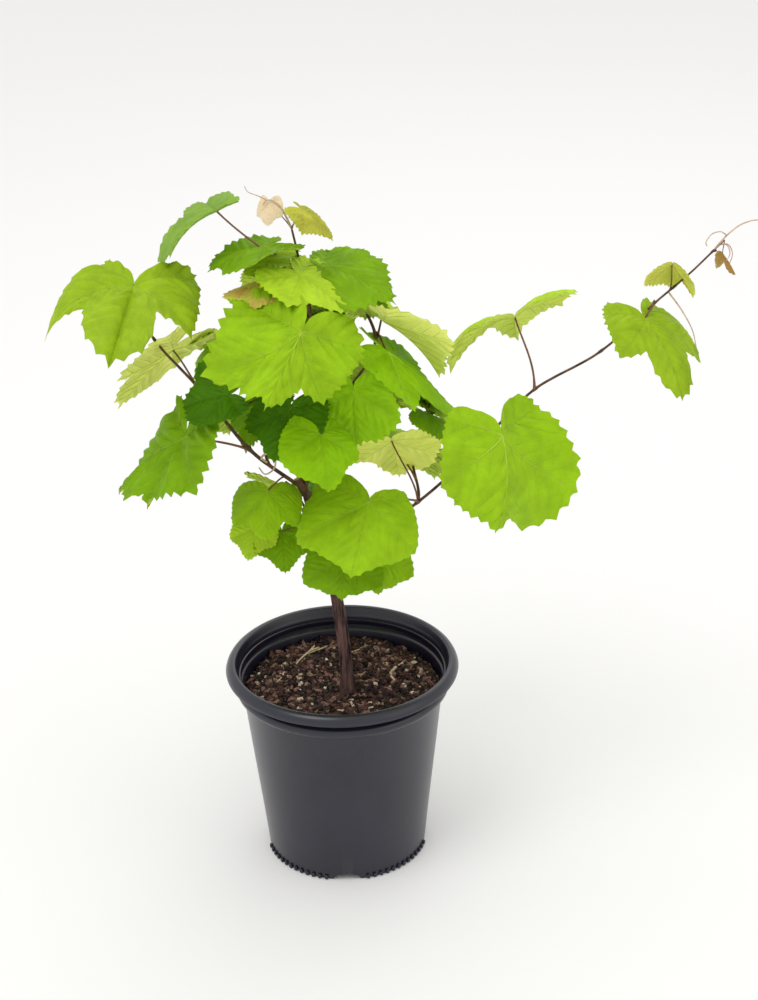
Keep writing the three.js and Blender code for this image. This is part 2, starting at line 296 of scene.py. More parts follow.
# A closed tube along a line, with its own radius at each point.
def tube(line, radii, sides=6):
    line = np.asarray(line, float)
    radii = np.broadcast_to(radii, len(line))
    across, over = crossDirections(line)
    turn = np.arange(sides) * 2 * math.pi / sides
    ring = across[:, None] * np.cos(turn)[:, None] + over[:, None] * np.sin(turn)[:, None]
    points = (line[:, None] + ring * radii[:, None, None]).reshape(-1, 3)
    faces = []
    for k in range(len(line) - 1):
        for j in range(sides):
            a, b = k * sides + j, k * sides + (j + 1) % sides
            faces.append([a, b, b + sides, a + sides])
    faces.append(list(range(sides))[::-1])
    last = (len(line) - 1) * sides
    faces.append([last + j for j in range(sides)])
    return points, faces


# A smooth curve through a few points, evenly stepped.
def curveThrough(points, count):
    points = np.asarray(points, float)
    chord = np.r_[0, np.cumsum(np.linalg.norm(np.diff(points, axis=0), axis=1))]
    fine = np.linspace(0, chord[-1], 400)
    padded = np.vstack([2 * points[0] - points[1], points, 2 * points[-1] - points[-2]])
    spots = np.r_[-chord[1], chord, 2 * chord[-1] - chord[-2]]
    k = np.clip(np.searchsorted(chord, fine, side="right"), 1, len(points) - 1)
    t = ((fine - spots[k]) / (spots[k + 1] - spots[k]))[:, None]
    before, start, end, after = padded[k - 1], padded[k], padded[k + 1], padded[k + 2]
    made = 0.5 * (
        2 * start + (end - before) * t + (2 * before - 5 * start + 4 * end - after) * t**2
        + (3 * start - before - 3 * end + after) * t**3
    )
    length = np.r_[0, np.cumsum(np.linalg.norm(np.diff(made, axis=0), axis=1))]
    even = np.linspace(0, length[-1], count)
    return np.stack([np.interp(even, length, made[:, axis]) for axis in range(3)], axis=1)


def bezierLine(start, leave, arrive, end, count):
    t = np.linspace(0, 1, count)[:, None]
    return (1 - t)**3 * start + 3 * t * (1 - t)**2 * leave + 3 * t**2 * (1 - t) * arrive + t**3 * end


potLow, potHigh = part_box("pot")
potPlan = {
    "rim": (potHigh.x - potLow.x) / 2,
    "height": potHigh.z,
    "foot": 57 * mm,          # radius of the flat underside
    "footEdge": 1.5 * mm,
    "wallTop": 71 * mm,       # radius where the wall meets the ring
    "lipDrop": 24 * mm,
    "wall": 2.4 * mm,
    "floor": 3 * mm,
    # the rounded heel: mm out from the foot, and up; the wall: mm of its slope, and up
    "heel": [(-0.4, 0.3), (0, 1.4)],
    "wallHeights": [(3, 5), (30, 33), (80, 82)],
    "segments": 160,
    "drains": 4,
    "drainWidth": 20 * mm,
    "drainHeight": 5.4 * mm,
    "edge": 0.25 * mm,
    # the ring under the lip: mm out from the wall, and down from the top
    "ring": [(0.3, 21.6), (3.2, 21), (4.7, 19.4), (5.3, 17.4), (4.9, 15.4), (3.4, 13.8), (1.4, 13),
             (1.4, 9.6)],
    # the rolled lip and the two steps inside it: mm in from the rim, and down from the top
    "lip": [(6.2, 8.6), (3, 8), (1.2, 7.7), (0.2, 6.8), (0, 5.6), (0.5, 4), (1.6, 2), (3.2, 0.6), (5, 0),
            (6.6, 0.5), (7.4, 1.6), (7.8, 5), (8.6, 6.2), (9.1, 8), (10.2, 15.4), (11.4, 16.2), (11.9, 17.6)],
}
studPlan = {
    "count": 72,              # little feet under the edge
    "size": (2.4 * mm, 2.6 * mm, 3.2 * mm),
    "out": 0.5 * mm,
    "height": 2 * mm,
    "clearOfDrain": 0.135,    # as a share of the way from drain to drain
    "round": 0.8 * mm,
}


# One ring of the wall is drawn up or in from the last, as (radius, height).
def drawRings(rings, start):
    radius, height = start
    for nextRadius, nextHeight in rings:
        bpy.ops.mesh.extrude_region_move(TRANSFORM_OT_translate={"value": (0, 0, nextHeight - height)})
        scale = nextRadius / radius
        bpy.ops.transform.resize(value=(scale, scale, 1), center_override=(0, 0, nextHeight))
        radius, height = nextRadius, nextHeight


def makePot(plan):
    rim, height, foot, wall = plan["rim"], plan["height"], plan["foot"], plan["wall"]
    wallTop, shoulder = plan["wallTop"], height - plan["lipDrop"]
    slope = (wallTop - foot) / shoulder
    start = foot - plan["footEdge"]
    clearSelection()
    bpy.ops.mesh.primitive_circle_add(vertices=plan["segments"], radius=start, fill_type="NGON")
    pot = newFromOp("potShell")
    enterMesh()
    rings = [(foot + out * mm, up * mm) for out, up in plan["heel"]]
    rings += [(foot + slope * reach * mm, up * mm) for reach, up in plan["wallHeights"]]
    rings += [(wallTop - 0.2 * mm, shoulder)]
    rings += [(wallTop + out * mm, height - down * mm) for out, down in plan["ring"]]
    rings += [(rim - inward * mm, height - down * mm) for inward, down in plan["lip"]]
    reach, up = plan["wallHeights"][-1]
    rings += [(wallTop - wall - 0.2 * mm, shoulder - 2 * mm), (foot - wall + slope * reach * mm, up * mm)]
    rings += [(foot - wall, plan["floor"])]
    drawRings(rings, (start, 0))
    bpy.ops.object.mode_set(mode="OBJECT")
    # arches cut in the foot
    for k in range(plan["drains"]):
        turn = k * 2 * math.pi / plan["drains"] - math.pi / 2
        clearSelection()
        bpy.ops.mesh.primitive_cylinder_add(
            vertices=32, radius=1, depth=24 * mm, location=(foot * math.cos(turn), foot * math.sin(turn), 0),
            rotation=(math.pi / 2, 0, turn + math.pi / 2))
        cutter = bpy.context.object
        cutter.scale = (plan["drainWidth"] / 2, plan["drainHeight"], 1)
        bpy.context.view_layer.update()
        cut = pot.modifiers.new("drain", "BOOLEAN")
        cut.operation = "DIFFERENCE"
        cut.solver = "EXACT"
        cut.object = cutter
        applyAll(pot)
        bpy.data.objects.remove(cutter)
    bevel = pot.modifiers.new("edges", "BEVEL")
    bevel.width = plan["edge"]
    bevel.segments = 2
    bevel.limit_method = "ANGLE"
    bevel.angle_limit = math.radians(35)
    applyAll(pot)
    smooth(pot, 40, potPlastic)
    return pot


# A row of small rounded studs round the bottom edge, left out at the arches.
def makeStuds(plan, pot):
    studs = []
    reach = pot["foot"] + plan["out"]
    for k in range(plan["count"]):
        turn = k * 2 * math.pi / plan["count"]
        fromDrain = (turn + math.pi / 2) * pot["drains"] / (2 * math.pi) % 1
        if min(fromDrain, 1 - fromDrain) < plan["clearOfDrain"]:
            continue
        clearSelection()
        place = (reach * math.cos(turn), reach * math.sin(turn), plan["height"])
        bpy.ops.mesh.primitive_cube_add(size=1, location=place, rotation=(0, 0, turn))
        stud = bpy.context.object
        stud.scale = plan["size"]
        settle(stud)
        studs.append(stud)
    takeUp(studs[0])
    for stud in studs:
        stud.select_set(True)
    bpy.ops.object.join()
    row = newFromOp("potStuds")
    bevel = row.modifiers.new("round", "BEVEL")
    bevel.width = plan["round"]
    bevel.segments = 3
    applyAll(row)
    smooth(row, 50, potPlastic)
    return row


potShell = makePot(potPlan)
potStuds = makeStuds(studPlan, potPlan)
for piece in (potShell, potStuds):
    settle(piece)
    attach(piece, "root")
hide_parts("pot")
print("pot made")

soilLow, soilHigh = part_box("soil")
soilPlan = {
    "radius": (soilHigh.x - soilLow.x) / 2,
    "top": soilHigh.z,
    "clearance": 0.3 * mm,
    "depth": 12 * mm,
    "shoulder": 10 * mm,      # height of the bed's side
    "rings": (0.9, 0.78, 0.66, 0.54, 0.42, 0.3, 0.18, 0.08),
}


# Gentle unevenness of the bed's top.
def bedHeight(x, y):
    wave = np.sin(x * 95 + 0.4) * np.cos(y * 120 + 1.1) + 0.6 * np.sin(x * 210 + y * 170)
    rim = np.hypot(x, y) / soilPlan["radius"]
    return soilPlan["top"] - 1.6 * mm + 0.7 * mm * wave - 1.4 * mm * rim**4


def makeBed(plan):
    clearSelection()
    bpy.ops.mesh.primitive_circle_add(
        vertices=96, radius=plan["radius"] - plan["clearance"], fill_type="NGON",
        location=(0, 0, plan["top"] - plan["depth"]))
    bed = newFromOp("soilBed")
    settle(bed)
    enterMesh()
    bpy.ops.mesh.extrude_region_move(TRANSFORM_OT_translate={"value": (0, 0, plan["shoulder"])})
    for share in plan["rings"]:
        bpy.ops.mesh.inset(thickness=0.001 * mm, depth=0)
        bpy.ops.object.mode_set(mode="OBJECT")
        for v in [v for v in bed.data.vertices if v.select]:
            reach = math.hypot(v.co.x, v.co.y)
            v.co.x *= share * plan["radius"] / reach
            v.co.y *= share * plan["radius"] / reach
        bpy.ops.object.mode_set(mode="EDIT")
    bpy.ops.object.mode_set(mode="OBJECT")
    for v in bed.data.vertices:
        if v.co.z > plan["top"] - 5 * mm:
            v.co.z = float(bedHeight(v.co.x, v.co.y))
    rough = bed.modifiers.new("lumps", "SUBSURF")
    rough.levels = rough.render_levels = 1
    applyAll(bed)
    smooth(bed, 60, soilBedding)
    return bed


chipPlan = {
    "count": 4200,
    "seed": 5,
    "shares": (0.22, 0.31, 0.26, 0.08, 0.09, 0.032, 0.008),   # of each tone in chipTones
    "size": (0.7, 1.9),       # half the chip, in mm, before its own length, width and thickness
    "bigShare": 0.16,
    "bigger": 1.35,
    "length": (0.9, 2.0),
    "width": (0.5, 1.0),
    "thickness": (0.3, 0.75),
    "bead": (0.8, 1.5),       # perlite is rounder
    "broken": (0.62, 1.1),
    "lean": 0.35,
    "rise": (-0.2, 1.0),
    "inset": 1.5 * mm,
    "highest": 2.5 * mm,
    "overhang": 1 * mm,
}


# Broken bits of bark: short wedges, flakes and crumbs, each a little different.
def makeChips(plan, bed):
    rng = np.random.default_rng(plan["seed"])
    heap = Heap()
    corner = np.array([(x, y, z) for z in (-1, 1) for x, y in ((-1, -1), (1, -1), (1, 1), (-1, 1))])
    boxFaces = [[0, 3, 2, 1], [4, 5, 6, 7], [0, 1, 5, 4], [1, 2, 6, 5], [2, 3, 7, 6], [3, 0, 4, 7]]
    shares = np.array(plan["shares"])
    for _ in range(plan["count"]):
        reach = (bed["radius"] - plan["inset"]) * math.sqrt(rng.random())
        turn = rng.random() * 2 * math.pi
        x, y = reach * math.cos(turn), reach * math.sin(turn)
        kind = int(rng.choice(len(shares), p=shares))
        size = rng.uniform(*plan["size"]) * (plan["bigger"] if rng.random() < plan["bigShare"] else 1)
        shape = size * np.array([rng.uniform(*plan[key]) for key in ("length", "width", "thickness")])
        if chipTones[kind][0] == "chipPerlite":
            shape = np.array([1, 1, 0.9]) * rng.uniform(*plan["bead"])
        points = corner * shape * mm * rng.uniform(*plan["broken"], (8, 3))
        spin = rng.uniform(0, 2 * math.pi)
        tip, lean = rng.normal(0, plan["lean"], 2)
        turned = Matrix.Rotation(spin, 3, "Z") @ Matrix.Rotation(tip, 3, "X") @ Matrix.Rotation(lean, 3, "Y")
        points = points @ np.array(turned).T
        points += [x, y, float(bedHeight(x, y)) + rng.uniform(*plan["rise"]) * mm]
        points[:, 2] = np.minimum(points[:, 2], bed["top"] + plan["highest"])
        if np.hypot(points[:, 0], points[:, 1]).max() <= bed["radius"] + plan["overhang"]:
            heap.add(points, boxFaces, kind)
    return heap.makePiece("soilChips", chipMaterials, angle=25)


# Straw and a forked dead twig that lie on the mix: points across the bed and over it, and a radius, in mm.
strawPlan = [
    ([(-18, 52, 2), (-24, 44, 5), (-31, 33, 4), (-34, 27, 2)], 0.9),
    ([(-21, 50, 7), (-26, 41, 5)], 0.6),
    ([(-12, 49, 6), (-22, 44, 4), (-29, 38, 4)], 0.6),
    ([(-41, 20, 2), (-44, 9, 3), (-47, 2, 2)], 0.7),
    ([(38, 18, 3), (34, 8, 3), (37, 0, 2)], 1.3),
    ([(43, 24, 2), (40, 20, 4)], 1.0),
    ([(-8, -52, 2), (-2, -56, 2)], 0.7),
    ([(48, -28, 2), (56, -30, 2)], 0.9),
    ([(4, 40, 2), (12, 45, 3)], 0.6),
]


def makeStraw(plan):
    heap = Heap()
    for points, radius in plan:
        spots = [(x * mm, y * mm, bedHeight(x * mm, y * mm) + z * 0.6 * mm) for x, y, z in points]
        line = curveThrough(spots, 9)
        heap.add(*tube(line, radius * mm * np.linspace(1, 0.55, 9), 6), 0)
    return heap.makePiece("soilStraw", [strawSkin])


soilBed = makeBed(soilPlan)
soilChips = makeChips(chipPlan, soilPlan)
soilStraw = makeStraw(strawPlan)
for piece in (soilBed, soilChips, soilStraw):
    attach(piece, "root")
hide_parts("soil")
print("soil made")


# The middle of a limb, ring by ring, from the limb's own solid, with the radius there.
def centreLine(*names):
    line, radii = [], []
    for name in names:
        spots = np.array([v.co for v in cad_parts[name].data.vertices])
        spots = np.unique(np.round(spots, 6), axis=0)
        middle = spots.mean(0)
        along = np.linalg.svd(spots - middle)[2][0]
        along = along if along[2] > 0 else -along
        far = (spots - middle) @ along
        order = np.argsort(far)
        cuts = np.flatnonzero(np.diff(far[order]) > barkPlan["ringGap"]) + 1
        for ring in np.split(spots[order], cuts):
            centre = ring.mean(0)
            apart = not line or np.linalg.norm(centre - line[-1]) >= barkPlan["ringStep"]
            if len(ring) >= 4 and apart:
                line.append(centre)
                radii.append(float(np.linalg.norm(ring - centre, axis=1).mean()))
    return np.array(line), np.array(radii)


limbNodes = {
    "trunk": ["trunk"],
    "leftCane": ["left_cane_1", "left_cane_2"],
    "rightCane": ["right_cane_1", "right_cane_2", "right_cane_3", "right_cane_4"],
    "centreCane": ["centre_cane_1", "centre_cane_2"],
    "secondCane": ["second_cane"],
    "backCane": ["back_cane"],
}
# Girth as a share of the CAD limb's, facets round it, a step along it in mm, its ridges' height as a share
# of its radius, and its joints as shares of its length.
caneLook = {"girth": 0.76, "sides": 20, "step": 1.4, "ridges": 0.06}
limbLook = {
    "trunk": {"girth": 0.88, "sides": 56, "step": 1.3, "ridges": 0.15, "joints": []},
    "leftCane": dict(caneLook, joints=[0.3, 0.62, 0.89]),
    "rightCane": dict(caneLook, ridges=0.05, joints=[0.2, 0.37, 0.53, 0.68, 0.82, 0.87, 0.97]),
    "centreCane": dict(caneLook, joints=[0.3, 0.5, 0.72, 0.82, 0.92]),
    "secondCane": dict(caneLook, sides=16, step=1.6, ridges=0.05, joints=[0.3, 0.7, 0.88]),
    "backCane": dict(caneLook, sides=16, step=1.6, ridges=0.05, joints=[0.4, 0.7, 0.95]),
}
barkPlan = {
    "flare": 0.25,            # widening of the trunk's foot
    "flareReach": 0.03,
    "sink": 2 * mm,           # how far the trunk goes into the mix
    "swelling": 0.45,         # of each joint
    "swellingReach": 1.8 * mm,
    "tip": 0.6,
    "strips": 9,              # waves that add up to the bark's relief
    "ringGap": 2.5 * mm,
    "ringStep": 4 * mm,
    "seed": 20,
}
limbLines = {}


# A grid is wrapped round the limb's middle line, with long strips of bark and swollen joints.
def makeLimb(name, nodes, look, material, seed):
    rng = np.random.default_rng(seed)
    rough, roughRadii = centreLine(*nodes)
    distance = np.r_[0, np.cumsum(np.linalg.norm(np.diff(rough, axis=0), axis=1))]
    length = distance[-1]
    rings = int(length / (look["step"] * mm))
    line = curveThrough(rough, rings)
    limbLines[name] = line
    share = np.linspace(0, 1, rings)
    radii = np.interp(share, distance / length, roughRadii) * look["girth"]
    if name == "trunk":
        radii *= 1 + barkPlan["flare"] * np.exp(-share / barkPlan["flareReach"])
        line[0, 2] -= barkPlan["sink"]
    for joint in look["joints"]:
        away = (share - joint) * length / barkPlan["swellingReach"]
        radii *= 1 + barkPlan["swelling"] * np.exp(-(away**2))
    radii[-1] *= barkPlan["tip"]
    across, over = crossDirections(line)
    sides = look["sides"]
    clearSelection()
    bpy.ops.mesh.primitive_grid_add(x_subdivisions=rings - 1, y_subdivisions=sides, size=1)
    limb = newFromOp(name + "Bark")
    spots = np.array([v.co for v in limb.data.vertices])
    ring = np.round((spots[:, 0] + 0.5) * (rings - 1)).astype(int)
    turn = (spots[:, 1] + 0.5) * 2 * math.pi
    relief = np.zeros(len(spots))
    for k in range(barkPlan["strips"]):
        count = int(rng.integers(3, 13))
        drift = rng.normal(0, 1.6)
        wobble = rng.uniform(1, 5)
        wave = np.cos(count * turn + drift * share[ring] * 6 + rng.uniform(0, 6.3)
                      + 0.7 * np.sin(share[ring] * wobble * 9 + k))
        relief += np.abs(wave) ** 0.6 * np.sign(wave) / (1 + 0.12 * count)
    reach = radii[ring] * (1 + np.clip(relief / 2.2, -1, 1.1) * look["ridges"])
    places = line[ring] + across[ring] * (np.cos(turn) * reach)[:, None]
    places += over[ring] * (np.sin(turn) * reach)[:, None]
    limb.data.vertices.foreach_set("co", places.ravel())
    limb.data.update()
    takeUp(limb)
    enterMesh()
    bpy.ops.mesh.remove_doubles(threshold=0.01 * mm)
    bpy.ops.mesh.select_all(action="DESELECT")
    bpy.ops.mesh.select_mode(type="EDGE")
    bpy.ops.mesh.select_non_manifold()
    bpy.ops.mesh.edge_face_add()
    bpy.ops.mesh.select_all(action="SELECT")
    bpy.ops.mesh.fill_holes(sides=0)
    bpy.ops.mesh.normals_make_consistent(inside=False)
    bpy.ops.object.mode_set(mode="OBJECT")
    smooth(limb, 70, material)
    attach(limb, "root")
    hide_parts(*nodes)


for number, (limbName, nodes) in enumerate(limbNodes.items()):
    bark = barkTrunk if limbName == "trunk" else barkCane
    makeLimb(limbName, nodes, limbLook[limbName], bark, barkPlan["seed"] + number)
print("trunk and canes made")

bladeBuild = {
    "thickness": 0.35 * mm,
    "teeth": (7, 7, 6),        # from tip to side lobe, on to the lower lobe, on to the stalk
    "perTooth": 4,             # points drawn to a tooth
    "toothDepth": 0.062,
    "toothStart": 0.86,        # share of the reach past which the rings take up the teeth
    "veinPucker": 0.024,       # how far the blade sinks at its main veins, as a share of its width
    "valley": 0.05,            # how far beside them it sinks
    "sidePucker": 0.010,
    "sideSlant": 0.95,
    "sideLean": 44,            # degrees between a side vein and its main vein
    "sector": 31,              # degrees of blade on each side of a main vein that it feeds
    "ripple": 0.010,
    "veinRadius": 0.5 * mm,
    "sideVeinRadius": 0.26 * mm,
    "sideSpacing": 0.105,      # between side veins, as a share of the width
}
mainVeins = np.array([0.0, 58, -58, 116, -116])
plainOutline = (0.68, (0.52, 0.52), (0.585, 0.585), (0.47, 0.47), 22)


# How far the blade reaches from its stalk on one side, as a share of its width, at angles from its tip.
def sideReach(angle, tip, notch, lateral, basal, opening):
    waist = 0.475 * (lateral + basal)
    knots = [0, 14, 27, 36, 47, 58, 72, 86, 98, 110]
    knots += [min(138, 156 - opening), 168 - opening, 180 - opening, 180]
    reach = [tip, tip * 0.9, max(notch, 0.41 * tip + 0.5 * notch), notch, (notch + lateral) / 2, lateral,
             (lateral + waist) / 2, waist, (waist + basal) / 2, basal, basal * 0.93, basal * 0.62, 0.12, 0.02]
    return smoothThrough(angle, np.array(knots, float), np.array(reach))


def bladeReach(leaf, angle):
    tip, notch, lateral, basal, opening = leaf["outline"]
    reach = np.zeros(len(angle))
    for k, side in enumerate((angle >= 0, angle < 0)):
        reach[side] = sideReach(np.abs(angle[side]), tip, notch[k], lateral[k], basal[k], opening)
    return reach


# Relief of the blade over its flat outline, as a share of its width.
def bladeRelief(leaf, u, v):
    away = np.hypot(u, v)
    angle = np.degrees(np.arctan2(u, v))
    gaps = np.abs(angle - mainVeins[:, None])
    toVein = np.radians(angle - mainVeins[np.argmin(gaps, axis=0)])
    beside = away * np.abs(np.sin(toVein))
    valley = beside / bladeBuild["valley"]
    pucker = bladeBuild["veinPucker"] * (1 - np.exp(-(valley**2)))
    inSector = np.clip((bladeBuild["sector"] - gaps.min(axis=0)) / 10, 0, 1)
    spots = (away * np.cos(toVein) - beside * bladeBuild["sideSlant"]) / bladeBuild["sideSpacing"]
    folds = -np.cos(2 * math.pi * (spots + leaf["phase"])) * np.clip(valley, 0, 1) * inSector
    wave = (away / 0.5) ** 2 * np.sin(np.radians(angle) * 4 + leaf["phase"] * 6)
    return (pucker + bladeBuild["sidePucker"] * folds + bladeBuild["ripple"] * wave) * leaf["relief"]


# The blade's own directions: across to its left, out to its tip, and up from its face.
def bladeDirections(leaf):
    heading, pitch, roll = [math.radians(angle) for angle in leaf["turn"]]
    flat = np.array([math.cos(heading), math.sin(heading), 0])
    rise = np.array([0, 0, 1])
    tipWay = math.cos(pitch) * flat + math.sin(pitch) * rise
    up = math.cos(pitch) * rise - math.sin(pitch) * flat
    left = np.cross(tipWay, up)
    return left * math.cos(roll) - up * math.sin(roll), tipWay, up * math.cos(roll) + left * math.sin(roll)


# Bends a point of the flat blade, in shares of its width, into its place.
def bladePlace(leaf, u, v, lift):
    width = leaf["width"]
    droop, cup, curl = leaf["bend"]
    x, y = u * width, v * width
    bends = math.radians(droop) / width * np.where(y >= 0, 1, 0.6)
    bends = np.where(np.abs(bends) < 1e-6, 1e-6, bends)
    run = bends * y
    cup = math.radians(cup)
    curl = math.radians(curl if abs(curl) > 1 else 1) / (0.5 * width)
    lean = cup + curl * (np.sqrt(x * x + (0.03 * width) ** 2) - 0.03 * width)
    across = np.sign(x) * (np.sin(lean) - math.sin(cup)) / curl
    rise = (math.cos(cup) - np.cos(lean)) / curl + lift
    out = np.sin(run) / bends + np.sin(run) * rise
    over = np.cos(run) * rise - (1 - np.cos(run)) / bends
    left, tipWay, up = bladeDirections(leaf)
    return leaf["spot"] + across[:, None] * left + out[:, None] * tipWay + over[:, None] * up


# The angles round the blade's edge, a few to a tooth, and the height of the tooth at each.
def toothRow(leaf, rng):
    first, second, third = bladeBuild["teeth"]
    total, perTooth = first + second + third, bladeBuild["perTooth"]
    opening = leaf["outline"][4]
    count = np.arange(total * perTooth + 1) / perTooth
    peak = np.round(count).astype(int)
    angle = np.interp(count, [0, first, first + second, total], [0, 58, 116, 178 - opening])
    tooth = (1 - 2 * np.abs(count - peak)) ** 1.3 * np.clip((178 - opening - angle) / 25, 0, 1)
    leftHeight, rightHeight = [tooth * rng.uniform(0.55, 1.25, total + 2)[peak] for side in ("left", "right")]
    ends = np.array([182 - opening, 180 - opening * 0.45])
    angles = np.concatenate([-ends[::-1], -angle[:0:-1], angle, ends, [180]])
    heights = np.concatenate([[0, 0], rightHeight[:0:-1], leftHeight, [0, 0, 0]])
    order = np.argsort(angles)
    return angles[order], heights[order]


# A blade with its two faces, drawn as rings of points from the stalk out to the toothed edge.
def addBlade(heap, leaf, rng):
    angle, height = toothRow(leaf, rng)
    reach = bladeReach(leaf, angle)
    depth = bladeBuild["toothDepth"] * leaf["teeth"] * (height - 0.4)
    start = bladeBuild["toothStart"]
    far = [np.zeros(1)]
    for share in leaf["rings"]:
        far.append(share * reach * (1 + depth * np.clip((share - start) / (1 - start), 0, 1)))
    around = np.radians(np.concatenate([[0], np.tile(angle, len(leaf["rings"]))]))
    far = np.concatenate(far)
    u, v = far * np.sin(around), far * np.cos(around)
    relief = bladeRelief(leaf, u, v) * leaf["width"]
    top = bladePlace(leaf, u, v, relief)
    under = bladePlace(leaf, u, v, relief - bladeBuild["thickness"])
    half, count, slot = len(top), len(angle), leafSlots[leaf["tone"]]
    edge = half - count
    faces, slots = [], []
    for j in range(count):
        k = (j + 1) % count
        faces += [[0, 1 + k, 1 + j], [half, half + 1 + j, half + 1 + k]]
        slots += [slot, slot + 1]
        for ring in range(len(leaf["rings"]) - 1):
            a, b = 1 + ring * count + j, 1 + ring * count + k
            faces.append([a, b, b + count, a + count])
            faces.append([half + a, half + a + count, half + b + count, half + b])
            slots += [slot, slot + 1]
        faces.append([edge + j, edge + k, half + edge + k, half + edge + j])
        slots.append(slot)
    points = np.concatenate([top, under])
    heap.add(points, faces, slots)
    return points


# A vein is a ridge that runs within the blade and stands out of both its faces.
def addVein(heap, leaf, u, v, radii):
    half = bladeBuild["thickness"] / 2
    line = bladePlace(leaf, u, v, bladeRelief(leaf, u, v) * leaf["width"] - half)
    run = np.gradient(line, axis=0)
    side = np.cross(run, bladeDirections(leaf)[2])
    side /= np.maximum(np.linalg.norm(side, axis=1, keepdims=True), 1e-12)
    over = np.cross(side, run)
    over /= np.maximum(np.linalg.norm(over, axis=1, keepdims=True), 1e-12)
    over *= 1 + half / radii[:, None]
    ring = np.stack([side, over, -side, -over], axis=1)
    points = (line[:, None] + ring * radii[:, None, None]).reshape(-1, 3)
    faces = [[k * 4 + j, k * 4 + (j + 1) % 4, k * 4 + 4 + (j + 1) % 4, k * 4 + 4 + j]
             for k in range(len(line) - 1) for j in range(4)]
    last = 4 * (len(line) - 1)
    faces += [[3, 2, 1, 0], [last, last + 1, last + 2, last + 3]]
    heap.add(points, faces, veinSlots[leaf["tone"]])


# Five main veins from the stalk, and side veins that leave each of them on both sides.
def addVeins(heap, leaf, sideVeins):
    scale = leaf["width"] / (90 * mm)
    spacing = bladeBuild["sideSpacing"]
    for vein in mainVeins:
        turn = math.radians(vein)
        reach = float(bladeReach(leaf, np.array([vein]))[0])
        out = np.linspace(0, reach * 0.97, 12)
        radii = bladeBuild["veinRadius"] * scale * np.linspace(1, 0.3, 12) * (1 if abs(vein) < 100 else 0.8)
        addVein(heap, leaf, out * math.sin(turn), out * math.cos(turn), radii)
        start = spacing * (2 - leaf["phase"])
        while sideVeins and start < reach * 0.86:
            for side in (1, -1):
                lean = math.radians(vein + side * bladeBuild["sideLean"])
                far = np.linspace(0, 0.6, 60)
                u = start * math.sin(turn) + far * math.sin(lean)
                v = start * math.cos(turn) + far * math.cos(lean)
                angle = np.degrees(np.arctan2(u, v))
                own = np.abs(angle - vein) < bladeBuild["sector"] - 4
                inside = np.hypot(u, v) < 0.95 * bladeReach(leaf, angle)
                past = np.flatnonzero(~(inside & own))
                end = past[0] - 1 if len(past) else len(far) - 1
                if end >= 4:
                    keep = np.linspace(0, end, 6).round().astype(int)
                    radii = bladeBuild["sideVeinRadius"] * scale * np.linspace(1, 0.45, 6)
                    addVein(heap, leaf, u[keep], v[keep], radii)
            start += spacing


heroRings = (*np.linspace(0.05, 0.95, 19), 1.0)
backRings = (0.25, 0.5, 0.72, 0.86, 1.0)
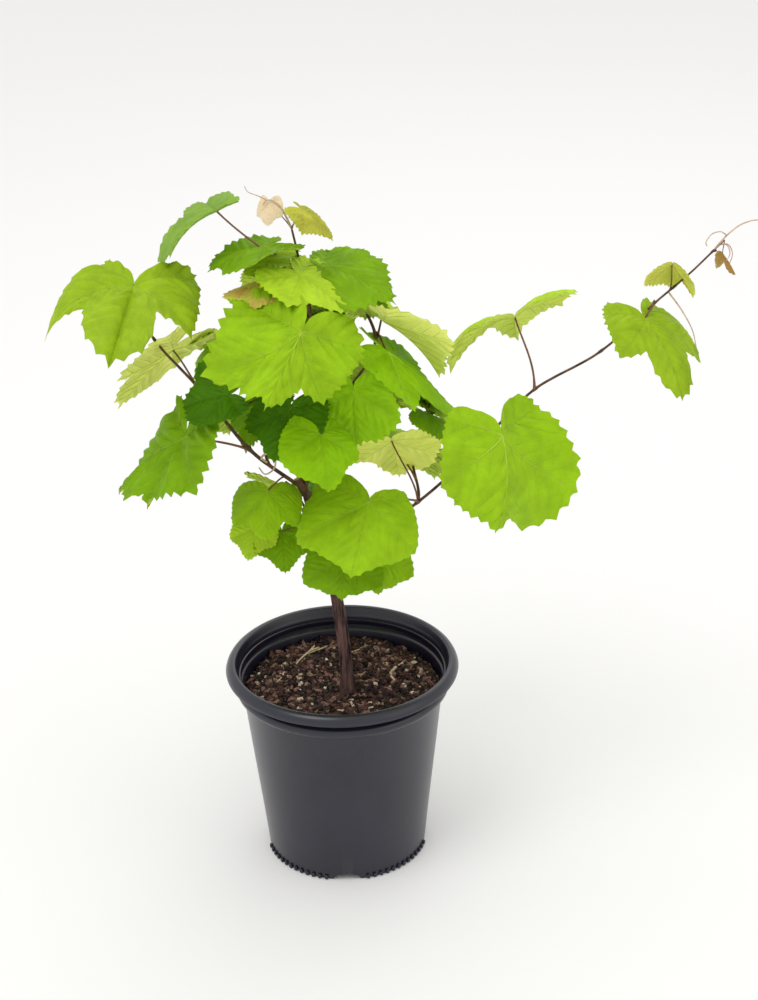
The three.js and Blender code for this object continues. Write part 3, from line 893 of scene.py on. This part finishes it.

# Each leaf that shows on its own, by its mass: its width in mm, and the stalk's end within the mass's box. In
# degrees, turn is its heading, pitch and roll, and bend is its droop to the tip, its cup and the curl of its
# sides. Its outline is the reach of its tip, notches, side lobes and lower lobes, and its opening in degrees.
# A leaf's tone carries the painted light or painted shade where it sits, such as the deep tone for the
# shadowed leaves.
leafPlan = {
    "leaves_far_left": dict(tone="warm", width=101, at=(0.55, 0.63, 0.77), turn=(-96, -14, -10),
        bend=(3, 31, -88), joint=("leftCane", 1), outline=(0.86, (0.49, 0.4), (0.73, 0.6), (0.3, 0.5), 30),
        relief=1.2),
    "leaves_top_left": dict(tone="soft", width=89, at=(0.49, 0.38, 0.76), turn=(101, -13, -21),
        bend=(-3, 10, -51), joint=("centreCane", 0.76),
        outline=(0.71, (0.34, 0.43), (0.24, 0.7), (0.22, 0.58), 30)),
    "leaves_top": dict(tone="shade", width=71, at=(0.57, 0.54, 0.65), turn=(206, -5, 10), bend=(34, -15, 32),
        joint=("centreCane", 0.82), outline=(0.58, (0.55, 0.6), (0.54, 0.57), (0.48, 0.47), 28), teeth=0.8),
    "leaves_top_right": dict(tone="shade", width=81, at=(0.44, 0.52, 0.83), turn=(-34, 2, 13),
        bend=(52, -18, 17), joint=("centreCane", 0.72),
        outline=(0.7, (0.62, 0.57), (0.5, 0.5), (0.47, 0.45), 26)),
    "leaves_front": dict(tone="lit", width=109, at=(0.59, 0.52, 0.80), turn=(-116, -31, -25),
        bend=(14, -55, 36), joint=("centreCane", 0.74),
        outline=(0.54, (0.52, 0.37), (0.67, 0.46), (0.63, 0.53), 22), relief=1.5),
    "leaves_middle": dict(tone="mid", width=64, at=(0.47, 0.30, 0.66), turn=(-108, -80, 2),
        bend=(32, -11, 0), joint=("secondCane", 0.3),
        outline=(0.63, (0.58, 0.6), (0.52, 0.6), (0.47, 0.36), 22)),
    "leaves_heart": dict(tone="mid", width=59, at=(0.49, 0.57, 0.70), turn=(-78, -28, -12),
        bend=(30, 1, -23), joint=("centreCane", 0.3),
        outline=(0.73, (0.65, 0.52), (0.61, 0.55), (0.4, 0.36), 23), relief=0.6, teeth=0.5),
    "leaves_left": dict(tone="shade", width=106, at=(0.48, 0.52, 0.62), turn=(-136, -49, 18),
        bend=(-7, 15, -45), joint=("leftCane", 0.3),
        outline=(0.5, (0.58, 0.48), (0.82, 0.55), (0.38, 0.41), 24), relief=1.2),
    "leaves_low_left": dict(tone="lit", width=59, at=(0.53, 0.61, 0.83), turn=(-92, -24, -4),
        bend=(17, -32, -16), joint=("leftCane", 0.1),
        outline=(0.67, (0.47, 0.44), (0.61, 0.56), (0.59, 0.56), 34), relief=0.6, teeth=0.5),
    "leaves_under_right": dict(tone="pale", width=71, at=(0.47, 0.43, 0.68), turn=(82, -46, -10),
        bend=(32, -16, 19), joint=("rightCane", 0.2),
        outline=(0.67, (0.62, 0.45), (0.54, 0.48), (0.58, 0.38), 28)),
    "leaves_low_front": dict(tone="lit", width=89, at=(0.54, 0.58, 0.79), turn=(-104, -26, -7),
        bend=(18, -10, -26), joint=("rightCane", 0.2),
        outline=(0.66, (0.58, 0.56), (0.66, 0.55), (0.6, 0.36), 32), relief=0.5, teeth=0.45),
    "leaves_right": dict(tone="lit", width=122, at=(0.51, 0.30, 0.75), turn=(-72, -51, -18),
        bend=(100, -32, 54), joint=("rightCane", 0.37),
        outline=(0.56, (0.5, 0.7), (0.5, 0.64), (0.36, 0.46), 26), relief=0.7, teeth=0.8),
    "leaves_upper_right": dict(tone="fresh", width=84, at=(0.47, 0.45, 0.66), turn=(90, -26, -21),
        bend=(67, 24, -52), joint=("rightCane", 0.53),
        outline=(0.53, (0.48, 0.35), (0.53, 0.8), (0.57, 0.37), 22)),
    "leaves_centre_right": dict(tone="under", width=88, at=(0.40, 0.42, 0.60), turn=(17, -35, -10),
        bend=(41, 7, 21), joint=("secondCane", 0.85),
        outline=(0.66, (0.55, 0.5), (0.58, 0.59), (0.44, 0.47), 22)),
    "leaves_centre_low": dict(tone="mid", width=87, at=(0.40, 0.47, 0.69), turn=(6, -40, 6),
        bend=(16, -19, 19), joint=("secondCane", 0.7),
        outline=(0.77, (0.42, 0.53), (0.57, 0.63), (0.46, 0.36), 22), relief=0.7),
    "leaves_far_right": dict(tone="warm", width=79, at=(0.53, 0.48, 0.78), turn=(-56, -28, -9),
        bend=(49, 1, -34), joint=("rightCane", 0.82),
        outline=(0.76, (0.4, 0.46), (0.53, 0.78), (0.4, 0.38), 24), relief=0.8),
    "leaves_right_tip": dict(tone="young", width=44, at=(0.54, 0.49, 0.79), turn=(84, -36, 8),
        bend=(48, -31, -20), joint=("rightCane", 0.86),
        outline=(0.66, (0.4, 0.58), (0.64, 0.57), (0.5, 0.47), 23)),
    "leaves_left_shade": dict(tone="deep", width=55, at=(0.64, 0.54, 0.40), turn=(172, -13, -36),
        bend=(25, 8, 16), joint=("leftCane", 0.5),
        outline=(0.61, (0.47, 0.57), (0.58, 0.58), (0.47, 0.46), 22)),
    "leaves_left_under": dict(tone="under", width=80, at=(0.54, 0.49, 0.61), turn=(172, -41, 25),
        bend=(16, -7, 8), joint=("leftCane", 0.62),
        outline=(0.71, (0.57, 0.46), (0.45, 0.62), (0.47, 0.55), 22)),
    "leaves_tip": dict(tone="young", width=38, at=(0.48, 0.53, 0.77), turn=(-24, -26, -6),
        bend=(44, -6, -18), joint=("centreCane", 1),
        outline=(0.7, (0.56, 0.52), (0.6, 0.58), (0.4, 0.47), 24)),
    "leaves_top_light": dict(tone="fresh", width=46, at=(0.42, 0.46, 0.56), turn=(25, 12, 0),
        bend=(20, -8, 10), joint=("centreCane", 0.86)),
    "leaves_bronze": dict(tone="tinted", width=50, at=(0.63, 0.53, 0.76), turn=(186, -10, 0),
        bend=(20, -12, -10), joint=("centreCane", 0.8)),
    "leaves_light": dict(tone="fresh", width=66, at=(0.48, 0.53, 0.79), turn=(-42, -14, 0),
        bend=(20, -10, 10), joint=("centreCane", 0.78)),
    "leaves_blush": dict(tone="blush", width=22, at=(0.52, 0.84, 1.00), turn=(-100, -50, 0),
        bend=(20, -20, -30), joint=("centreCane", 1.0)),
    "leaves_shade_front": dict(tone="deep", width=58, at=(0.53, 0.53, 0.72), turn=(-112, -34, 0),
        bend=(20, -10, 10), joint=("centreCane", 0.35)),
    "leaves_low_back_left": dict(tone="shade", width=56, at=(0.49, 0.58, 0.71), turn=(-96, -48, 0),
        bend=(15, -10, 10), joint=("trunk", 0.85), outline=(0.52, (0.5, 0.5), (0.6, 0.6), (0.47, 0.47), 22),
        relief=0.5, teeth=0.45),
    "leaves_low_back_right": dict(tone="lit", width=54, at=(0.51, 0.55, 0.71), turn=(-80, -48, 0),
        bend=(15, -10, 10), joint=("rightCane", 0.08),
        outline=(0.52, (0.5, 0.5), (0.6, 0.6), (0.47, 0.47), 22), relief=0.5, teeth=0.5),
    "leaves_low_behind_left": dict(tone="pale", width=36, at=(0.52, 0.53, 0.69), turn=(-110, -46, 0),
        bend=(15, -10, 10), joint=("trunk", 0.9), relief=0.6, teeth=0.7),
    "leaves_low_behind_right": dict(tone="shade", width=42, at=(0.49, 0.59, 0.69), turn=(-84, -44, 0),
        bend=(15, -10, 10), joint=("trunk", 0.85), relief=0.6, teeth=0.7),
    "leaves_right_end": dict(tone="bronze", width=20, at=(0.54, 0.49, 0.69), turn=(-20, -50, 0),
        bend=(20, -45, -60), joint=("rightCane", 1.0),
        outline=(0.8, (0.3, 0.3), (0.55, 0.5), (0.3, 0.3), 30)),
}

# Masses of plainer leaves: how many, their tones, their cane, and the share kept clear at the mass's front.
fillPlan = {
    # The inner masses take the shade and deep tones: painted shade inside the foliage.
    "leaves_inner_left": (2, ["deep", "shade"], "leftCane"),
    "leaves_inner_right": (2, ["shade", "deep"], "rightCane"),
    "leaves_inner_top": (2, ["shade", "mid"], "secondCane"),
    "leaves_back_top": (3, ["lit", "mid", "fresh"], "centreCane"),
    "leaves_back_upper": (4, ["mid", "lit", "shade"], "backCane"),
    "leaves_back_left": (4, ["mid", "lit", "shade"], "backCane"),
    "leaves_back_low_left": (2, ["mid", "shade"], "backCane"),
    "leaves_back_foot": (2, ["shade", "mid"], "trunk"),
    "leaves_back_middle": (4, ["mid", "lit", "shade"], "backCane"),
    "leaves_back_right": (3, ["lit", "mid", "shade"], "secondCane"),
    "leaves_back_low_right": (3, ["mid", "shade", "lit"], "rightCane", 0.36),
    "leaves_back_low": (3, ["shade", "mid"], "backCane", 0.36),
}

growPlan = {
    "seed": 31,
    "toneSeed": 7,
    "spread": 70,             # degrees between the first and the last leaf of a mass
    "waver": 12,
    "widest": 92 * mm,
    "fill": 0.92,             # of the mass's width, by one leaf
    "fillShared": 0.86,       # less of it, where there are more
    "pitch": (-46, -24),
    "droop": (10, 40),
    "cup": (-18, 8),
    "curl": (-30, 10),
    "opening": (18, 30),
    "overhang": 4 * mm,       # how far a leaf may pass the mass's box
    "stalkRadius": 0.75 * mm,
    "greenStalks": 0.4,
    "crownAxis": np.array([0.0, 12 * mm, 0.0]),
}
stalkPlan = {"heroSeed": 11, "radius": 0.8 * mm, "points": 14}
blades, veins, replaced = {}, {}, {}
for part in ("front", "middle", "back"):
    blades[part], veins[part], replaced[part] = Heap(), Heap(), []
stalks = Heap()


def completeLeaf(leaf, rng, rings):
    made = {"teeth": 1.0, "relief": 1.0, "outline": plainOutline, "phase": float(rng.random())}
    made.update(leaf, rings=rings, width=leaf["width"] * mm)
    return made


def limbSpot(limb, share):
    line = limbLines[limb]
    k = int(round(share * (len(line) - 1)))
    return line[k], unit(np.gradient(line, axis=0)[k])


# A stalk leaves its cane along runWay, and meets the blade from below.
def addStalk(leaf, start, runWay, radius, slot):
    tipWay, up = bladeDirections(leaf)[1:]
    end = leaf["spot"] - up * bladeBuild["thickness"]
    far = np.linalg.norm(end - start)
    leave = start + (end - start) * 0.33 + runWay * far * 0.1
    arrive = end - (end - start) * 0.3 - (tipWay * 0.5 + up * 0.7) * far * 0.08
    line = bezierLine(start, leave, arrive, end, stalkPlan["points"])
    radii = radius * (1 - 0.25 * np.linspace(0, 1, stalkPlan["points"]))
    radii[0] *= 1.5
    radii[1] *= 1.2
    radii[-1] *= 1.15
    stalks.add(*tube(line, radii, 8), slot)


rng = np.random.default_rng(stalkPlan["heroSeed"])
for number, (mass, plan) in enumerate(leafPlan.items()):
    part = "front" if number % 2 else "middle"
    leaf = completeLeaf(plan, rng, heroRings)
    low, high = [np.array(corner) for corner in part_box(mass)]
    leaf["spot"] = low + (high - low) * np.array(plan["at"])
    addBlade(blades[part], leaf, rng)
    addVeins(veins[part], leaf, True)
    addStalk(leaf, *limbSpot(*plan["joint"]), stalkPlan["radius"] * (leaf["width"] / (90 * mm)) ** 0.5, 0)
    replaced[part].append(mass)
print("front leaves laid out:", len(leafPlan))


# Moves a leaf back within its mass's box, and makes it smaller if it is too wide for it.
def keepInside(leaf, low, high):
    for _ in range(12):
        points = addBlade(Heap(), leaf, np.random.default_rng(1))
        over = np.maximum(0, points.max(0) - high - growPlan["overhang"])
        short = np.maximum(0, low - growPlan["overhang"] - points.min(0))
        if np.max(over + short) < 0.5 * mm:
            break
        leaf["spot"] = leaf["spot"] - over + short
        if np.any((over > 0) & (short > 0)):
            leaf["width"] *= 0.94


# Leaves of a mass that is not seen leaf by leaf: a shoot runs into the mass and bears them in turn.
def growMass(mass, count, tones, limb, clear, rng, picker):
    low, high = [np.array(corner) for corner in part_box(mass)]
    low[1] += clear * (high[1] - low[1])
    middle, size = (low + high) / 2, high - low
    line = limbLines[limb]
    k = int(np.argmin(np.linalg.norm(line - middle + [0, 0, 30 * mm], axis=1)))
    root, rootWay = line[k], unit(np.gradient(line, axis=0)[k])
    outward = (middle - growPlan["crownAxis"]) * [1, 1, 0]
    outwardTurn = math.degrees(math.atan2(outward[1], outward[0]))
    shoot = bezierLine(root, root + rootWay * 12 * mm, middle - outward * 0.25 + [0, 0, 6 * mm],
                       middle + [0, 0, size[2] * 0.15], 16)
    if count > 1:
        stalks.add(*tube(shoot, np.linspace(1.2, 0.7, 16) * mm, 8), 2)
    inward = -unit(outward)
    sideways = np.array([-inward[1], inward[0], 0])
    widest = growPlan["fill"] * min(max(size[0], size[1]), growPlan["widest"])
    widest *= 1 if count == 1 else growPlan["fillShared"]
    waver = growPlan["waver"]
    for number in range(count):
        place = number - (count - 1) / 2
        width = widest / mm * rng.uniform(0.82, 1.0)
        heading = outwardTurn + place * growPlan["spread"] / max(count, 2) + rng.normal(0, waver)
        turn = (heading, rng.uniform(*growPlan["pitch"]), rng.normal(0, waver))
        bend = [rng.uniform(*growPlan[key]) for key in ("droop", "cup", "curl")]
        w = rng.uniform(-0.05, 0.05, 6)
        outline = (0.67 + w[0], (0.5 + w[1], 0.5 + w[2]), (0.58 + w[3], 0.58 + w[4]), (0.47, 0.47 + w[5]),
                   rng.uniform(*growPlan["opening"]))
        plan = dict(width=width, turn=turn, bend=bend, outline=outline, tone=picker.choice(tones))
        leaf = completeLeaf(plan, rng, backRings)
        aside = inward * 0.16 + sideways * 0.48 * place / max(count - 1, 1)
        leaf["spot"] = middle + size[:2].mean() * aside + [0, 0, size[2] * (0.3 - 0.34 * number / count)]
        keepInside(leaf, low, high)
        addBlade(blades["back"], leaf, rng)
        addVeins(veins["back"], leaf, leaf["width"] > 40 * mm)
        near = shoot[4 + int(11 * (number + 1) / (count + 1))] if count > 1 else root
        slot = int(picker.random() < growPlan["greenStalks"])
        addStalk(leaf, near, unit(shoot[-1] - shoot[0]), growPlan["stalkRadius"], slot)
    replaced["back"].append(mass)


fillRandom = np.random.default_rng(growPlan["seed"])
picker = random.Random(growPlan["toneSeed"])
for mass, (count, tones, limb, *clear) in fillPlan.items():
    growMass(mass, count, tones, limb, sum(clear), fillRandom, picker)
print("fill leaves grown")

for part in ("front", "middle", "back"):
    bladePiece = blades[part].makePiece(part + "LeafBlades", leafMaterials, angle=75)
    veinPiece = veins[part].makePiece(part + "LeafVeins", veinMaterials, angle=70)
    for piece in (bladePiece, veinPiece):
        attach(piece, "root")
    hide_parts(*replaced[part])
stalkPiece = stalks.makePiece("leafStalks", [stalkRed, stalkGreen, barkCane])
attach(stalkPiece, "root")

# Each tendril starts at a share of its cane, and its points go on from there in mm.
tendrilPlan = [
    ("rightCane", 0.975, [(0, 0, 0), (7, -2, 10), (15, -3, 17.5), (22, -4, 21), (27, -5, 22)], 0.62),
    ("rightCane", 0.975,
     [(0, 0, 0), (7, -2, 10), (5, -4, 13.5), (2, -6, 15), (-3, -7, 13.5), (-6, -6, 8), (-5, -5, 5)], 0.5),
    ("rightCane", 0.86, [(0, 0, 0), (9, -4, -12), (16, -6, -25), (19, -7, -37)], 0.55),
    ("rightCane", 0.99, [(0, 0, 0), (5, -3, 1), (8, -4, -5), (6, -4, -13)], 0.45),
    ("rightCane", 0.99, [(0, 0, 0), (4, -4, 1), (6, -6, -4), (4, -6, -9)], 0.45),
    ("leftCane", 0.2,
     [(0, -2, 2), (-3, -6, 7), (1, -8, 11), (6, -7, 7), (5, -6, -1), (-1, -6, -5), (-5, -6, 0)], 0.75),
    ("centreCane", 1.0, [(0, 0, 0), (-5, -1, 12), (-10, -2, 19), (-15, -3, 20.5), (-18, -3, 17)], 0.75),
    ("centreCane", 1.0, [(-15, -3, 20.5), (-21, -4, 24), (-27, -5, 27), (-29, -5, 31)], 0.4),
]


def makeTendrils(plan):
    heap = Heap()
    for limb, share, points, radius in plan:
        line = limbLines[limb]
        root = line[int(share * (len(line) - 1))]
        route = curveThrough([root + np.array(p) * mm for p in points], 40)
        heap.add(*tube(route, radius * mm * np.linspace(1.1, 0.6, 40), 7), 0)
    return heap.makePiece("tendrils", [tendrilSkin])


# Small pointed buds at the cane's joints.
def makeBuds():
    heap = Heap()
    rng = np.random.default_rng(3)
    for name, look in limbLook.items():
        for joint in look["joints"]:
            root, run = limbSpot(name, joint)
            side = unit(np.cross(run, rng.normal(0, 1, 3)))
            tipWay = unit(side * 0.8 + run * 0.6)
            spots = np.array([root + tipWay * d * mm for d in (0.4, 1.2, 2.0, 2.8, 3.4)])
            heap.add(*tube(spots, np.array([0.8, 1.0, 0.85, 0.5, 0.12]) * mm, 8), 0)
    return heap.makePiece("caneBuds", [barkCane])


# The sawn end of the old stem at the trunk's head.
def makeStub():
    head = limbLines["trunk"][-1]
    line = head + np.array([(1, 1, -4), (-1, 0, 0), (-3, -1, 4), (-5, -1, 8), (-5.2, -1, 8.4)]) * mm
    heap = Heap()
    points, faces = tube(line, np.array([3.0, 2.9, 2.7, 2.6, 2.2]) * mm, 14)
    heap.add(points, faces, [0] * (len(faces) - 1) + [1])
    return heap.makePiece("cutStub", [barkCane, cutWood], angle=40)


for piece in (makeTendrils(tendrilPlan), makeBuds(), makeStub()):
    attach(piece, "root")
print("tendrils, buds and stub made")

studio = {
    "floorSize": 14.0,
    "floorTone": (0.9, 0.893, 0.88),
    "skyTone": (1.0, 1.0, 1.0),
    "skyStrength": 0.93,
    "aim": (0.0287, 0.0, 0.2735),
    "distance": 1.5,
    "elevation": 25.9,
    "roll": -1.3,
    "lens": 79.0,
    # place, size and power
    "lights": {
        "keyLight": ((-0.7, -0.8, 1.9), 1.0, 9),
        "fillLight": ((1.5, -0.9, 1.0), 1.4, 2),
        "backLight": ((0.4, 1.3, 1.6), 1.4, 4),
    },
    "lightAim": (0, 0, 0.3),
}


def makeFloor():
    clearSelection()
    bpy.ops.mesh.primitive_plane_add(size=studio["floorSize"])
    floor = newFromOp("studioFloor")
    material = bpy.data.materials.new("floorPaint")
    material.use_nodes = True
    shader = material.node_tree.nodes["Principled BSDF"]
    shader.inputs["Base Color"].default_value = (*studio["floorTone"], 1)
    shader.inputs["Roughness"].default_value = 0.9
    floor.data.materials.append(material)


def addLight(name, place, size, power):
    data = bpy.data.lights.new(name, "AREA")
    data.shape = "DISK"
    data.size = size
    data.energy = power
    light = bpy.data.objects.new(name, data)
    light.location = place
    aim = Vector(studio["lightAim"]) - Vector(place)
    light.rotation_euler = aim.to_track_quat("-Z", "Y").to_euler()
    bpy.context.scene.collection.objects.link(light)


def makeStudio():
    world = bpy.data.worlds.new("studioSky")
    bpy.context.scene.world = world
    world.use_nodes = True
    nodes, links = world.node_tree.nodes, world.node_tree.links
    sky = nodes["Background"]
    sky.inputs["Strength"].default_value = studio["skyStrength"]
    # Seen directly, the sky has the floor's own tone, so no horizon shows behind the plant.
    path = nodes.new("ShaderNodeLightPath")
    blend = nodes.new("ShaderNodeMix")
    blend.data_type = "RGBA"
    blend.inputs[6].default_value = (*studio["skyTone"], 1)
    blend.inputs[7].default_value = (*studio["floorTone"], 1)
    links.new(path.outputs["Is Camera Ray"], blend.inputs[0])
    links.new(blend.outputs[2], sky.inputs["Color"])
    for name, light in studio["lights"].items():
        addLight(name, *light)
    bpy.context.scene.view_settings.view_transform = "Standard"


def makeCamera():
    data = bpy.data.cameras.new("studioCamera")
    data.lens = studio["lens"]
    data.sensor_width = 36
    camera = bpy.data.objects.new("studioCamera", data)
    rise = math.radians(studio["elevation"])
    aim = Vector(studio["aim"])
    camera.location = aim + studio["distance"] * Vector((0, -math.cos(rise), math.sin(rise)))
    look = (aim - camera.location).to_track_quat("-Z", "Y").to_matrix().to_4x4()
    tilt = Matrix.Rotation(math.radians(studio["roll"]), 4, "Z")
    camera.matrix_world = Matrix.Translation(camera.location) @ look @ tilt
    bpy.context.scene.collection.objects.link(camera)
    bpy.context.scene.camera = camera


makeFloor()
makeStudio()
makeCamera()
bpy.context.view_layer.update()
